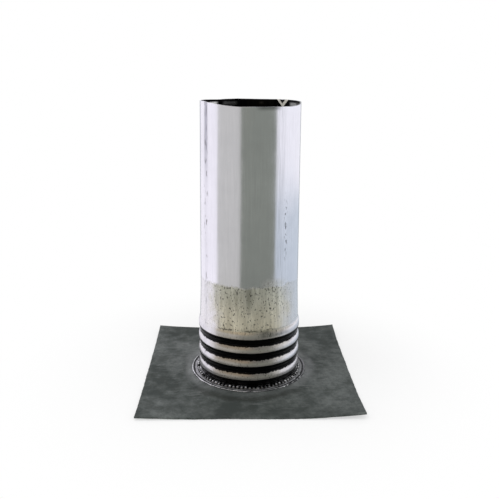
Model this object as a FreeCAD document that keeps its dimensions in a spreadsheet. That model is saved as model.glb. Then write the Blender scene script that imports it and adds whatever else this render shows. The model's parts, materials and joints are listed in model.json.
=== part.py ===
"""Ribbed lead pipe flashing boot, as a parametric document in millimetres.

A tall lead sleeve slips over a vent pipe where it comes through a roof. Above a short plain foot it is rolled
into broad ribs with narrow lands between them, so that the soft wall can lean to the pitch of the roof. It stands
on a square lead flashing sheet whose corners curl up a little, and a burned (lead-welded) seam joins the two: a
rippled fillet round the foot, a narrow gutter, and the raised edge of the melted ring.

Frame: +Z up along the sleeve, origin on the sheet's underside at the sleeve's axis.
"""
import FreeCAD, Part
import math
import os
import Sketcher

Vector = FreeCAD.Vector

# Driving dimensions: alias, value (mm, or a count or a ratio where the note says so), what it is.
SIZES = [
    ("pipe_diameter", 114.3, "outside diameter of the vent pipe that the sleeve covers"),
    ("pipe_clearance", 1.6, "gap all round between the pipe and the sleeve"),
    ("sleeve_wall", 1.6, "thickness of the sleeve's lead"),
    ("sleeve_height", 338.0, "top of the rim above the sheet's underside"),
    ("rim_chamfer", 0.3, "broken edges of the cut rim"),
    ("foot_height", 4.5, "plain tube between the sheet and the lowest rib"),
    ("rib_count", 4, "count of rolled ribs above the foot"),
    ("rib_pitch", 16.8, "spacing of the ribs"),
    ("rib_depth", 2.7, "how far a crown stands out from the plain tube"),
    ("rib_land", 1.4, "plain tube left between two ribs"),
    ("sheet_side", 254.0, "side of the square flashing sheet"),
    ("sheet_thickness", 2.0, "thickness of the flashing sheet"),
    ("corner_flap", 62.0, "length of each curled corner along the diagonal"),
    ("trim_margin", 10.0, "how far a curled corner's stock runs past the outline before it is trimmed"),
    ("lift_front_left", 2.0, "rise of the corner at -X -Y"),
    ("lift_front_right", 5.0, "rise of the corner at +X -Y"),
    ("lift_back_right", 4.5, "rise of the corner at +X +Y"),
    ("lift_back_left", 3.5, "rise of the corner at -X +Y"),
    ("seam_width", 7.0, "width of the burned fillet on the sheet"),
    ("seam_rise", 2.4, "height of the burned fillet up the sleeve"),
    ("seam_toe", 0.8, "thickness of the fillet at its outer toe"),
    ("gutter_width", 2.4, "narrow gutter between the fillet and the melted edge"),
    ("gutter_floor", 0.3, "metal under the gutter"),
    ("edge_width", 2.2, "width of the raised melted edge on the sheet"),
    ("edge_height", 1.1, "height of the melted edge"),
    ("edge_crest", 0.8, "width of the melted edge along its top"),
    ("ripple_count", 84, "count of ripples round the burned seam"),
    ("ripple_gap", 0.9, "how far the ripples' feet stand off the sleeve"),
    ("ripple_length", 4.8, "length of a ripple's foot, out from the sleeve"),
    ("ripple_rise", 2.7, "height of a ripple above the sheet"),
    ("ripple_draft", 1.7, "how far a ripple's ends draw in from foot to crest"),
    ("ripple_overlap", 1.2, "ratio of a ripple's foot to the spacing of the ripples"),
    ("ripple_crest", 0.4, "ratio of a ripple's crest to the spacing of the ripples"),
]

# Sizes that follow from those: name and expression. More than one feature uses each.
DERIVED = [
    ("bore", "Sizes.pipe_diameter / 2 + Sizes.pipe_clearance"),
    ("outside", "Derived.bore + Sizes.sleeve_wall"),
    ("half_rib", "(Sizes.rib_pitch - Sizes.rib_land) / 2"),
    ("crown", "(Derived.half_rib ^ 2 + Sizes.rib_depth ^ 2) / (2 * Sizes.rib_depth)"),
    ("crown_at", "Derived.outside + Sizes.rib_depth - Derived.crown"),
    ("ribs_at", "Sizes.sheet_thickness + Sizes.foot_height"),
    ("ribs_top", "Derived.ribs_at + Sizes.rib_count * Sizes.rib_pitch"),
    ("fold", "Sizes.sheet_side / sqrt(2) - Sizes.corner_flap"),
    ("flap_stock", "Sizes.corner_flap + Sizes.trim_margin"),
    ("toe_at", "Derived.outside + Sizes.seam_width"),
    ("edge_at", "Derived.toe_at + Sizes.gutter_width"),
    ("ripple_at", "Derived.outside + Sizes.ripple_gap"),
    ("ripple_spacing", "2 * pi * (Derived.ripple_at + Sizes.ripple_length / 2) / Sizes.ripple_count"),
]

CORNERS = ("back_right", "back_left", "front_left", "front_right")    # from +X +Y on, the way of the angles
ORIGIN = (-1, 1)             # a sketch's own origin, as a constraint's element and point
START, END, CENTRE = range(1, 4)
ANY_SIZE = 1.0               # what circles and squares are drawn at, until their expressions are read


# ---------------------------------------------------------------- helpers

def make_sizes(doc):
    """The spreadsheet that drives the model: one row for each size, with its number under an alias."""
    sheet = doc.addObject("Spreadsheet::Sheet", "Sizes")
    for row, (alias, value, note) in enumerate(SIZES, start=1):
        sheet.set(f"A{row}", alias)
        sheet.set(f"B{row}", str(value))
        sheet.set(f"C{row}", note)
        sheet.setAlias(f"B{row}", alias)
    doc.recompute()


def make_derived(doc):
    """The sizes that follow from the spreadsheet, each bound to its expression."""
    derived = doc.addObject("App::VarSet", "Derived")
    for name, expression in DERIVED:
        derived.addProperty("App::PropertyFloat", name)
        derived.setExpression(name, expression)
    doc.recompute()


def make_body(doc, label):
    body = doc.addObject("PartDesign::Body", label)
    body.Label = label
    return body


def origin_feature(body, role):
    """One of a body's own origin planes or axes, such as XY_Plane."""
    return next(feature for feature in body.Origin.OriginFeatures if feature.Role == role)


def make_sketch(body, name, plane="XZ_Plane"):
    sketch = body.newObject("Sketcher::SketchObject", name)
    sketch.AttachmentSupport = [(origin_feature(body, plane), "")]
    sketch.MapMode = "FlatFace"
    return sketch


def add_line(sketch, start, end):
    return sketch.addGeometry(Part.LineSegment(Vector(*start, 0), Vector(*end, 0)))


def add_arc(sketch, centre, radius, first_deg, last_deg):
    """An arc that runs counter-clockwise from its first angle to its last."""
    circle = Part.Circle(Vector(*centre, 0), Vector(0, 0, 1), radius)
    return sketch.addGeometry(Part.ArcOfCircle(circle, math.radians(first_deg), math.radians(last_deg)))


def relate(sketch, kind, *where):
    """A constraint with no size, such as Coincident or Tangent."""
    sketch.addConstraint(Sketcher.Constraint(kind, *where))


def drawn(sketch, kind, where):
    """A size as the geometry was drawn, which is where the solver starts from."""
    if kind == "Radius":
        return sketch.Geometry[where[0]].Radius
    start, end = sketch.getPoint(*where[:2]), sketch.getPoint(*where[2:])
    return end.x - start.x if kind == "DistanceX" else end.y - start.y


def size(sketch, kind, *where, name, to):
    """A constraint whose size follows an expression over the spreadsheet."""
    sketch.addConstraint(Sketcher.Constraint(kind, *where, drawn(sketch, kind, where)))
    sketch.renameConstraint(sketch.ConstraintCount - 1, name)
    sketch.setExpression(f"Constraints.{name}", to)


def centred_circle(sketch, name, radius):
    circle = sketch.addGeometry(Part.Circle(Vector(0, 0, 0), Vector(0, 0, 1), ANY_SIZE))
    relate(sketch, "Coincident", circle, CENTRE, *ORIGIN)
    size(sketch, "Radius", circle, name=name, to=radius)


def centred_square(sketch, name, side):
    """A square round the sketch's origin, its sides along the axes."""
    points = [(-ANY_SIZE, -ANY_SIZE), (ANY_SIZE, -ANY_SIZE), (ANY_SIZE, ANY_SIZE), (-ANY_SIZE, ANY_SIZE)]
    lines = [add_line(sketch, a, b) for a, b in zip(points, points[1:] + points[:1])]
    for i, line in enumerate(lines):
        relate(sketch, "Coincident", line, END, lines[(i + 1) % 4], START)
        relate(sketch, "Vertical" if i % 2 else "Horizontal", line)
    relate(sketch, "Symmetric", lines[0], START, lines[2], START, *ORIGIN)
    size(sketch, "DistanceX", lines[0], START, lines[0], END, name=f"{name}_width", to=side)
    size(sketch, "DistanceY", lines[1], START, lines[1], END, name=f"{name}_length", to=side)


def revolve(body, name, sketch):
    feature = body.newObject("PartDesign::Revolution", name)
    feature.Profile = sketch
    feature.ReferenceAxis = (sketch, ["V_Axis"])
    feature.Angle = 360
    return feature


def pad(body, name, sketch, length):
    feature = body.newObject("PartDesign::Pad", name)
    feature.Profile = sketch
    feature.setExpression("Length", length)
    return feature


# ---------------------------------------------------------------- sleeve

def rib_section(body):
    """Half a cut through one rib's wall, with half a land of plain tube at each end. The two skins of the crown
    are arcs about one centre, which keeps the wall even."""
    sketch = make_sketch(body, "rib_section")
    sizes, derived = body.Document.Sizes, body.Document.Derived
    bore, outside, centre = derived.bore, derived.outside, Vector(derived.crown_at, 0, 0)
    base, top = derived.ribs_at, derived.ribs_at + sizes.rib_pitch
    centre.y = (base + top) / 2
    outer_turn = math.asin(derived.half_rib / derived.crown)
    inner_crown = derived.crown - sizes.sleeve_wall
    inner_turn = math.acos((bore - centre.x) / inner_crown)
    outer_reach, inner_reach = derived.half_rib, inner_crown * math.sin(inner_turn)

    outer_turn, inner_turn = math.degrees(outer_turn), math.degrees(inner_turn)
    outer = add_arc(sketch, (centre.x, centre.y), derived.crown, -outer_turn, outer_turn)
    inner = add_arc(sketch, (centre.x, centre.y), inner_crown, -inner_turn, inner_turn)
    foot = add_line(sketch, (bore, base), (outside, base))
    head = add_line(sketch, (bore, top), (outside, top))
    outer_low = add_line(sketch, (outside, base), (outside, centre.y - outer_reach))
    outer_high = add_line(sketch, (outside, centre.y + outer_reach), (outside, top))
    inner_low = add_line(sketch, (bore, base), (bore, centre.y - inner_reach))
    inner_high = add_line(sketch, (bore, centre.y + inner_reach), (bore, top))

    relate(sketch, "Coincident", outer, CENTRE, inner, CENTRE)
    relate(sketch, "Horizontal", foot)
    relate(sketch, "Horizontal", head)
    skins = (END, outer_low, outer, outer_high), (START, inner_low, inner, inner_high)
    for side, low_land, skin, high_land in skins:
        relate(sketch, "Coincident", foot, side, low_land, START)
        relate(sketch, "Coincident", low_land, END, skin, START)
        relate(sketch, "Coincident", skin, END, high_land, START)
        relate(sketch, "Coincident", high_land, END, head, side)
        relate(sketch, "Vertical", low_land)
        relate(sketch, "Vertical", high_land)
    size(sketch, "DistanceX", *ORIGIN, foot, START, name="bore", to="Derived.bore")
    size(sketch, "DistanceX", foot, START, foot, END, name="wall", to="Sizes.sleeve_wall")
    size(sketch, "DistanceY", *ORIGIN, foot, START, name="base", to="Derived.ribs_at")
    size(sketch, "DistanceY", foot, END, head, END, name="pitch", to="Sizes.rib_pitch")
    size(sketch, "DistanceY", foot, END, outer, START, name="half_land", to="Sizes.rib_land / 2")
    size(sketch, "DistanceY", outer, START, outer, END, name="rib", to="2 * Derived.half_rib")
    size(sketch, "Radius", outer, name="outer_crown", to="Derived.crown")
    size(sketch, "Radius", inner, name="inner_crown", to="Derived.crown - Sizes.sleeve_wall")
    return sketch


def tube_length(body, name, start, length):
    """A pad of plain tube that starts at one height."""
    ring = make_sketch(body, f"{name}_ring", "XY_Plane")
    ring.setExpression(".AttachmentOffset.Base.z", start)
    centred_circle(ring, "bore", "Derived.bore")
    centred_circle(ring, "outside", "Derived.outside")
    return pad(body, name, ring, length)


def make_sleeve(doc):
    """The lead tube: a short plain foot, the rolled ribs, and a plain tube above, all of one even wall."""
    body = make_body(doc, "sleeve")
    rib = revolve(body, "rib", rib_section(body))
    doc.recompute()

    ribs = body.newObject("PartDesign::LinearPattern", "ribs")
    ribs.Originals = [rib]
    ribs.Direction = (origin_feature(body, "Z_Axis"), [""])
    ribs.Mode = "Spacing"
    ribs.setExpression("Offset", "Sizes.rib_pitch")
    ribs.setExpression("Occurrences", "Sizes.rib_count")
    body.Tip = ribs
    doc.recompute()

    tube_length(body, "plain_foot", "Sizes.sheet_thickness", "Sizes.foot_height")
    tube = tube_length(body, "plain_tube", "Derived.ribs_top", "Sizes.sleeve_height - Derived.ribs_top")
    doc.recompute()

    rim = body.newObject("PartDesign::Chamfer", "rim_edges")
    rim.Base = (tube, edges_at_height(tube.Shape, doc.Sizes.sleeve_height))
    rim.setExpression("Size", "min(Sizes.rim_chamfer; Sizes.sleeve_wall / 3)")
    doc.recompute()
    return body


def edges_at_height(shape, height, slack=1e-4):
    """Names of the edges that lie wholly at one height."""
    return [
        f"Edge{i}"
        for i, edge in enumerate(shape.Edges, start=1)
        if abs(edge.BoundBox.ZMin - height) < slack and abs(edge.BoundBox.ZMax - height) < slack
    ]


# ---------------------------------------------------------------- flashing sheet

def curl_section(body, name, diagonal):
    """A cut through one corner along the sheet's diagonal: flat up to the fold, then a wide arc that is tangent
    to the flat and passes through the corner at its lift. It runs past the corner, and is trimmed later."""
    sketch = make_sketch(body, f"{name}_section")
    sketch.AttachmentOffset = FreeCAD.Placement(Vector(0, 0, 0), FreeCAD.Rotation(Vector(0, 1, 0), diagonal))
    lift = f"lift_{name}"
    radius = f"(Sizes.corner_flap ^ 2 + Sizes.{lift} ^ 2) / (2 * Sizes.{lift})"
    sizes, fold = body.Document.Sizes, body.Document.Derived.fold
    thickness, rise = sizes.sheet_thickness, sizes.get(lift)
    bend = (sizes.corner_flap ** 2 + rise ** 2) / (2 * rise)
    last = -90 + math.degrees(math.asin(body.Document.Derived.flap_stock / bend))
    centre = (fold, thickness + bend)
    top = add_arc(sketch, centre, bend, -90, last)
    underside = add_arc(sketch, centre, bend + thickness, -90, last)
    rim = [(fold + r * math.cos(math.radians(last)), thickness + bend + r * math.sin(math.radians(last)))
           for r in (bend, bend + thickness)]
    cut = add_line(sketch, *rim)
    root = add_line(sketch, (fold, 0), (fold, thickness))

    relate(sketch, "Coincident", top, CENTRE, underside, CENTRE)
    relate(sketch, "Coincident", root, START, underside, START)
    relate(sketch, "Coincident", root, END, top, START)
    relate(sketch, "Coincident", cut, START, top, END)
    relate(sketch, "Coincident", cut, END, underside, END)
    relate(sketch, "Vertical", root)
    relate(sketch, "Vertical", top, CENTRE, top, START)
    relate(sketch, "PointOnObject", top, CENTRE, cut)
    relate(sketch, "PointOnObject", root, START, -1)
    size(sketch, "DistanceX", *ORIGIN, root, START, name="fold", to="Derived.fold")
    size(sketch, "DistanceY", root, START, root, END, name="thickness", to="Sizes.sheet_thickness")
    size(sketch, "Radius", top, name="bend", to=radius)
    size(sketch, "DistanceX", top, START, top, END, name="reach", to="Derived.flap_stock")
    return sketch


def make_flashing_sheet(doc):
    """The square lead sheet, with its four corners curled up, trimmed square, and the hole for the pipe."""
    body = make_body(doc, "flashing_sheet")
    flat = make_sketch(body, "flat_blank", "XY_Plane")
    centred_square(flat, "blank", "Sizes.sheet_side")
    pad(body, "flat_sheet", flat, "Sizes.sheet_thickness")
    doc.recompute()

    for i, name in enumerate(CORNERS):
        diagonal = 45 + 90 * i
        clip_corner(body, name, diagonal)
        doc.recompute()
        curl = pad(body, f"{name}_curl", curl_section(body, name, diagonal), "2 * Derived.flap_stock")
        curl.SideType = "Symmetric"
        doc.recompute()

    frame = make_sketch(body, "trim_frame", "XY_Plane")
    centred_square(frame, "outline", "Sizes.sheet_side")
    centred_square(frame, "offcut", "2 * Sizes.sheet_side")
    cut_upwards(body, "trim_to_square", frame)
    doc.recompute()

    hole = make_sketch(body, "pipe_hole", "XY_Plane")
    centred_circle(hole, "bore", "Derived.bore")
    cut_upwards(body, "pipe_opening", hole)
    doc.recompute()
    return body


def clip_corner(body, name, diagonal):
    """Cuts the flat corner off at the fold line, to make room for the curled one."""
    sketch = make_sketch(body, f"{name}_clip", "XY_Plane")
    sketch.AttachmentOffset = FreeCAD.Placement(Vector(0, 0, 0), FreeCAD.Rotation(Vector(0, 0, 1), diagonal))
    fold, reach = body.Document.Derived.fold, body.Document.Derived.flap_stock
    points = [(fold, -reach), (fold + reach, -reach), (fold + reach, reach), (fold, reach)]
    lines = [add_line(sketch, a, b) for a, b in zip(points, points[1:] + points[:1])]
    for i, line in enumerate(lines):
        relate(sketch, "Coincident", line, END, lines[(i + 1) % 4], START)
    relate(sketch, "Horizontal", lines[0])
    relate(sketch, "Vertical", lines[1])
    relate(sketch, "Horizontal", lines[2])
    relate(sketch, "Symmetric", lines[3], START, lines[3], END, -1)
    size(sketch, "DistanceX", *ORIGIN, lines[0], START, name="fold", to="Derived.fold")
    size(sketch, "DistanceX", lines[0], START, lines[0], END, name="reach", to="Derived.flap_stock")
    size(sketch, "DistanceY", lines[1], START, lines[1], END, name="width", to="2 * Derived.flap_stock")
    cut_upwards(body, f"{name}_clipped", sketch)


def cut_upwards(body, name, sketch):
    """A pocket from a sketch on the underside, through everything above it."""
    feature = body.newObject("PartDesign::Pocket", name)
    feature.Profile = sketch
    feature.Type = "ThroughAll"
    feature.Reversed = True
    return feature


# ---------------------------------------------------------------- burned seam

def seam_section(body):
    """Half a cut through the seam. A hollow fillet runs from the sleeve's plain foot down to a toe on the sheet,
    and then come a gutter and the raised edge of the melt."""
    sketch = make_sketch(body, "seam_section")
    sizes, derived = body.Document.Sizes, body.Document.Derived
    base, floor = sizes.sheet_thickness, sizes.sheet_thickness + sizes.gutter_floor
    crest = base + sizes.edge_height
    side = (sizes.edge_width - sizes.edge_crest) / 2
    top = Vector(derived.outside, base + sizes.seam_rise, 0)
    toe = Vector(derived.toe_at, base + sizes.seam_toe, 0)
    hollow, half_chord = 2 * sizes.seam_width, (toe - top) / 2
    outward = Vector(-half_chord.y, half_chord.x, 0).normalize()
    hollow_at = top + half_chord + outward * math.sqrt(hollow ** 2 - half_chord.Length ** 2)
    first, last = (math.degrees(math.atan2(p.y - hollow_at.y, p.x - hollow_at.x)) % 360 for p in (top, toe))

    corners = [
        (derived.outside, base),
        (derived.edge_at + sizes.edge_width, base),
        (derived.edge_at + sizes.edge_width - side, crest),
        (derived.edge_at + side, crest),
        (derived.edge_at, floor),
        (toe.x, floor),
        (toe.x, toe.y),
    ]
    bottom, outer_side, crest_line, inner_side, gutter, step = (
        add_line(sketch, a, b) for a, b in zip(corners, corners[1:])
    )
    fillet = add_arc(sketch, (hollow_at.x, hollow_at.y), hollow, first, last)
    on_foot = add_line(sketch, (top.x, top.y), (derived.outside, base))

    for a, b in ((bottom, outer_side), (outer_side, crest_line), (crest_line, inner_side), (inner_side, gutter),
                 (gutter, step)):
        relate(sketch, "Coincident", a, END, b, START)
    relate(sketch, "Coincident", step, END, fillet, END)
    relate(sketch, "Coincident", fillet, START, on_foot, START)
    relate(sketch, "Coincident", on_foot, END, bottom, START)
    relate(sketch, "Vertical", on_foot)
    relate(sketch, "Horizontal", bottom)
    relate(sketch, "Horizontal", crest_line)
    relate(sketch, "Horizontal", gutter)
    relate(sketch, "Vertical", step)
    size(sketch, "DistanceX", *ORIGIN, bottom, START, name="outside", to="Derived.outside")
    size(sketch, "DistanceY", *ORIGIN, bottom, START, name="base", to="Sizes.sheet_thickness")
    size(sketch, "DistanceY", on_foot, END, on_foot, START, name="rise", to="Sizes.seam_rise")
    size(sketch, "DistanceX", *ORIGIN, step, START, name="toe", to="Derived.toe_at")
    size(sketch, "DistanceY", bottom, START, step, START, name="floor", to="Sizes.gutter_floor")
    size(sketch, "DistanceY", bottom, START, step, END, name="toe_height", to="Sizes.seam_toe")
    size(sketch, "Radius", fillet, name="hollow", to="2 * Sizes.seam_width")
    size(sketch, "DistanceX", *ORIGIN, gutter, START, name="edge_at", to="Derived.edge_at")
    size(sketch, "DistanceX", gutter, START, bottom, END, name="edge_width", to="Sizes.edge_width")
    size(sketch, "DistanceY", bottom, START, crest_line, START, name="edge_height", to="Sizes.edge_height")
    size(sketch, "DistanceX", crest_line, END, crest_line, START, name="edge_crest", to="Sizes.edge_crest")
    size(sketch, "DistanceX", crest_line, START, bottom, END, name="edge_side",
         to="(Sizes.edge_width - Sizes.edge_crest) / 2")
    return sketch


def make_burned_seam(doc):
    """The lead burned between sleeve and sheet: the revolved section, and a ring of overlapping ripples on it.
    A ripple is a block that draws in from its foot to its crest, wider at the foot than the spacing, so that
    each one runs into the next."""
    body = make_body(doc, "burned_seam")
    revolve(body, "seam_ring", seam_section(body))
    doc.recompute()

    ripple = body.newObject("PartDesign::AdditiveWedge", "ripple")
    ripple.AttachmentSupport = [(origin_feature(body, "XY_Plane"), "")]
    ripple.MapMode = "FlatFace"
    ripple.AttachmentOffset = FreeCAD.Placement(Vector(0, 0, 0), FreeCAD.Rotation(Vector(1, 0, 0), 90))
    ripple.setExpression(".AttachmentOffset.Base.x", "Derived.ripple_at")
    ripple.setExpression(".AttachmentOffset.Base.z", "Sizes.sheet_thickness")
    for bound, expression in (
        ("Xmin", "0"),
        ("Xmax", "Sizes.ripple_length"),
        ("X2min", "Sizes.ripple_draft"),
        ("X2max", "Sizes.ripple_length - Sizes.ripple_draft"),
        ("Ymin", "0"),
        ("Ymax", "Sizes.ripple_rise"),
        ("Zmin", "-Derived.ripple_spacing * Sizes.ripple_overlap / 2"),
        ("Zmax", "Derived.ripple_spacing * Sizes.ripple_overlap / 2"),
        ("Z2min", "-Derived.ripple_spacing * Sizes.ripple_crest / 2"),
        ("Z2max", "Derived.ripple_spacing * Sizes.ripple_crest / 2"),
    ):
        ripple.setExpression(bound, expression)
    doc.recompute()

    ripples = body.newObject("PartDesign::PolarPattern", "ripples")
    ripples.Originals = [ripple]
    ripples.Axis = (origin_feature(body, "Z_Axis"), [""])
    ripples.Angle = 360
    ripples.setExpression("Occurrences", "Sizes.ripple_count")
    body.Tip = ripples
    doc.recompute()
    return body


# ---------------------------------------------------------------- the whole boot

def check(doc, parts):
    """Stops with a plain message if a feature failed or a sub-part isn't one valid solid."""
    for feature in doc.Objects:
        if {"Invalid", "Error"} & set(feature.State):
            raise RuntimeError(f"{feature.Name} failed: {feature.State}")
    for part in parts:
        if part.Shape.isNull() or not part.Shape.isValid() or len(part.Shape.Solids) != 1:
            raise RuntimeError(f"{part.Label} isn't one valid solid")


def main():
    doc = FreeCAD.newDocument("PipeFlashingBoot")
    make_sizes(doc)
    make_derived(doc)
    parts = [make_sleeve(doc), make_flashing_sheet(doc), make_burned_seam(doc)]
    doc.recompute()
    check(doc, parts)
    os.makedirs("parts", exist_ok=True)
    for part in parts:
        part.Shape.exportStep(f"parts/{part.Label}.step")
        print(f"{part.Label}: {part.Shape.Volume:.0f} mm3, {len(part.Shape.Faces)} faces")


main()
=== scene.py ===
# %% [markdown]
# # Dressing a ribbed lead pipe flashing boot
# The solids of this boot are made already: a tall lead sleeve with four rolled ribs at its foot, a square
# lead sheet, and the burned seam that joins them. This lesson gives them the looks of real lead. It builds
# finer meshes in the same places, a material for each finish, and a small studio whose pale and grey walls
# the bright sleeve can mirror.

# %% Load the fixed frame
import json
import math

import bmesh
import bpy
from mathutils import Matrix, Vector, noise


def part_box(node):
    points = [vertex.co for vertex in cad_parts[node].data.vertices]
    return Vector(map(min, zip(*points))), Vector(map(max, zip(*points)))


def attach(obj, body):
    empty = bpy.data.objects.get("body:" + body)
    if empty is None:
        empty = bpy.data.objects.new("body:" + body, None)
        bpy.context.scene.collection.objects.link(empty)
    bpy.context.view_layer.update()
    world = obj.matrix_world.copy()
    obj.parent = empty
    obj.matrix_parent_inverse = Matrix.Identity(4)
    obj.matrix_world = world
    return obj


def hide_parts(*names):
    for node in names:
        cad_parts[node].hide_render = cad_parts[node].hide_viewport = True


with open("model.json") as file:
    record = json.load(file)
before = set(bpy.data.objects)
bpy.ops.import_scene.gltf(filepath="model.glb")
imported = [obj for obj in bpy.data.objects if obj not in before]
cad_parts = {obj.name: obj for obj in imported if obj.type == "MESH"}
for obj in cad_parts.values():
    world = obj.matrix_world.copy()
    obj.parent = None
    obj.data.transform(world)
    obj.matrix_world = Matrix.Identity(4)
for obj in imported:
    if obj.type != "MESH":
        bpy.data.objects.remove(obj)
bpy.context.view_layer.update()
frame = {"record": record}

# %% [markdown]
# ## Sizes
# Every place comes from the frame, so the looks stay on the solids. The boxes of the three nodes and the
# stated bore give the sheet's side, the sleeve's height and its radii. Only what a box can't show, such as
# the thickness of the wall and the spacing of the ribs, is a value of its own here.

# %% Sizes in metres, taken from the frame
sleeve_low, sleeve_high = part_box("sleeve")
sheet_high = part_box("flashing_sheet")[1]
seam_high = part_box("burned_seam")[1]
bore_mount = next(mount for mount in frame["record"]["mounts"] if mount["name"] == "pipe_bore")

MM = 0.001
WALL = 1.6 * MM
RIB_COUNT = 4
RIB_PITCH = 16.8 * MM
RIB_LAND = 1.4 * MM
BORE = bore_mount["dims"]["r_mm"] * MM
OUTSIDE = BORE + WALL
RIB_DEPTH = sleeve_high.x - OUTSIDE
FOOT = sleeve_low.z
TOP = sleeve_high.z
RIBS_AT = FOOT + 4.5 * MM             # the lowest rib begins above a short plain foot
RIBS_TOP = RIBS_AT + RIB_COUNT * RIB_PITCH
HALF_SIDE = sheet_high.x
SEAM_OUTSIDE = seam_high.x
print(f"sleeve {2 * OUTSIDE / MM:.1f} mm across")
print(f"ribs {RIB_DEPTH / MM:.2f} mm deep up to z {RIBS_TOP / MM:.1f} mm")

# %% [markdown]
# ## The camera
# A camera placed first gives every later step something to be judged by. It stands a little above the rim
# of the sleeve and looks down on the sheet. The shift moves the picture without tilting the camera any
# further, which keeps the sides of the sleeve nearly upright, as a shift lens does.

# %% Camera
CAMERA_PLACE = Vector((-0.0197, -0.7742, 0.3713))
CAMERA_PITCH = math.radians(10.21)
CAMERA_TURN = math.radians(1.42)
CAMERA_ROLL = math.radians(0.47)      # a slight roll

camera_data = bpy.data.cameras.new("camera")
camera_data.sensor_width = 36.0
camera_data.lens = 46.61
camera_data.shift_y = -0.12
camera_data.clip_start = 0.01
camera = bpy.data.objects.new("camera", camera_data)
camera.location = CAMERA_PLACE
turned = Matrix.Rotation(-CAMERA_TURN, 3, "Z") @ Matrix.Rotation(math.pi / 2 - CAMERA_PITCH, 3, "X")
camera.rotation_euler = (turned @ Matrix.Rotation(CAMERA_ROLL, 3, "Z")).to_euler()
bpy.context.scene.collection.objects.link(camera)
bpy.context.scene.camera = camera
bpy.context.scene.view_settings.view_transform = "Standard"
print("camera lens", round(camera_data.lens, 2), "mm, shift", camera_data.shift_y)

# %% [markdown]
# ## Helpers for node trees
# Geometry Nodes and materials are both node trees, so the same few helpers build both. `add` makes a node
# and feeds its inputs: a socket is linked, and anything else is set as a plain value. `calc` is the Math
# node, written like a call, which keeps a long formula readable.

# %% Node helpers
def add(tree, kind, inputs=None, **settings):
    """A new node with its settings, whose inputs are linked to sockets or set to values."""
    node = tree.nodes.new(kind)
    for name, value in settings.items():
        setattr(node, name, value)
    for key, value in (inputs or {}).items():
        if isinstance(value, bpy.types.NodeSocket):
            tree.links.new(value, node.inputs[key])
        else:
            node.inputs[key].default_value = value
    return node


def calc(tree, operation, *values, clamp=False):
    """The Math node as a function: sockets or numbers in, a socket out."""
    node = add(tree, "ShaderNodeMath", dict(enumerate(values)), operation=operation, use_clamp=clamp)
    return node.outputs[0]


def ramp(tree, value, start, end, low=0.0, high=1.0, smooth=True):
    """The value's way from start to end, turned into low to high and held there outside."""
    node = add(
        tree, "ShaderNodeMapRange",
        {"Value": value, "From Min": start, "From Max": end, "To Min": low, "To Max": high},
        interpolation_type="SMOOTHSTEP" if smooth else "LINEAR", clamp=True,
    )
    return node.outputs[0]


def noise_at(tree, vector, scale, detail=2.0, roughness=0.5, out=0):
    """Smooth noise between 0 and 1, at a number of bumps to the metre."""
    node = add(
        tree, "ShaderNodeTexNoise",
        {"Vector": vector, "Scale": scale, "Detail": detail, "Roughness": roughness},
        noise_dimensions="3D",
    )
    return node.outputs[out]


def mix(tree, factor, first, second):
    """First colour where the factor is 0, second where it is 1."""
    node = add(tree, "ShaderNodeMix", data_type="RGBA")
    for socket, value in ((node.inputs[0], factor), (node.inputs[6], first), (node.inputs[7], second)):
        if isinstance(value, bpy.types.NodeSocket):
            tree.links.new(value, socket)
        else:
            socket.default_value = value
    return node.outputs[2]


def stretch(tree, vector, scale):
    """The vector scaled on each axis."""
    return add(tree, "ShaderNodeVectorMath", {0: vector, 1: scale}, operation="MULTIPLY").outputs[0]

# %% [markdown]
# ## From Geometry Nodes to a plain mesh
# A Geometry Nodes modifier is live, but this piece has to end as a plain mesh, because that is what is kept.
# `grow` puts the tree on an empty object, sets its named inputs, adds any finishing modifiers, and takes the
# evaluated result as a new mesh.

# %% Geometry helpers
def geometry_tree(name, inputs):
    """An empty Geometry Nodes tree with named inputs, its input and output nodes."""
    tree = bpy.data.node_groups.new(name, "GeometryNodeTree")
    for label, (kind, value) in inputs.items():
        socket = tree.interface.new_socket(label, in_out="INPUT", socket_type=kind)
        if value is not None:
            socket.default_value = value
    tree.interface.new_socket("Geometry", in_out="OUTPUT", socket_type="NodeSocketGeometry")
    return tree, tree.nodes.new("NodeGroupInput").outputs, tree.nodes.new("NodeGroupOutput")


def new_piece(name, mesh):
    piece = bpy.data.objects.new(name, mesh)
    bpy.context.scene.collection.objects.link(piece)
    return piece


def grow(name, tree, values, finish=None):
    """Runs a tree with these input values, then the finishing modifiers, and keeps the result as a mesh."""
    seed = new_piece(name + "_seed", bpy.data.meshes.new(name + "_seed"))
    modifier = seed.modifiers.new("grow", "NODES")
    modifier.node_group = tree
    for item in tree.interface.items_tree:
        if item.in_out == "INPUT" and item.name in values:
            modifier[item.identifier] = values[item.name]
    if finish:
        finish(seed)
    bpy.context.view_layer.update()
    evaluated = seed.evaluated_get(bpy.context.evaluated_depsgraph_get())
    mesh = bpy.data.meshes.new_from_object(evaluated)
    bpy.data.objects.remove(seed)
    mesh.name = name
    piece = new_piece(name, mesh)
    print(name, len(mesh.polygons), "faces")
    return piece


def shade_smooth(piece):
    for polygon in piece.data.polygons:
        polygon.use_smooth = True
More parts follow.
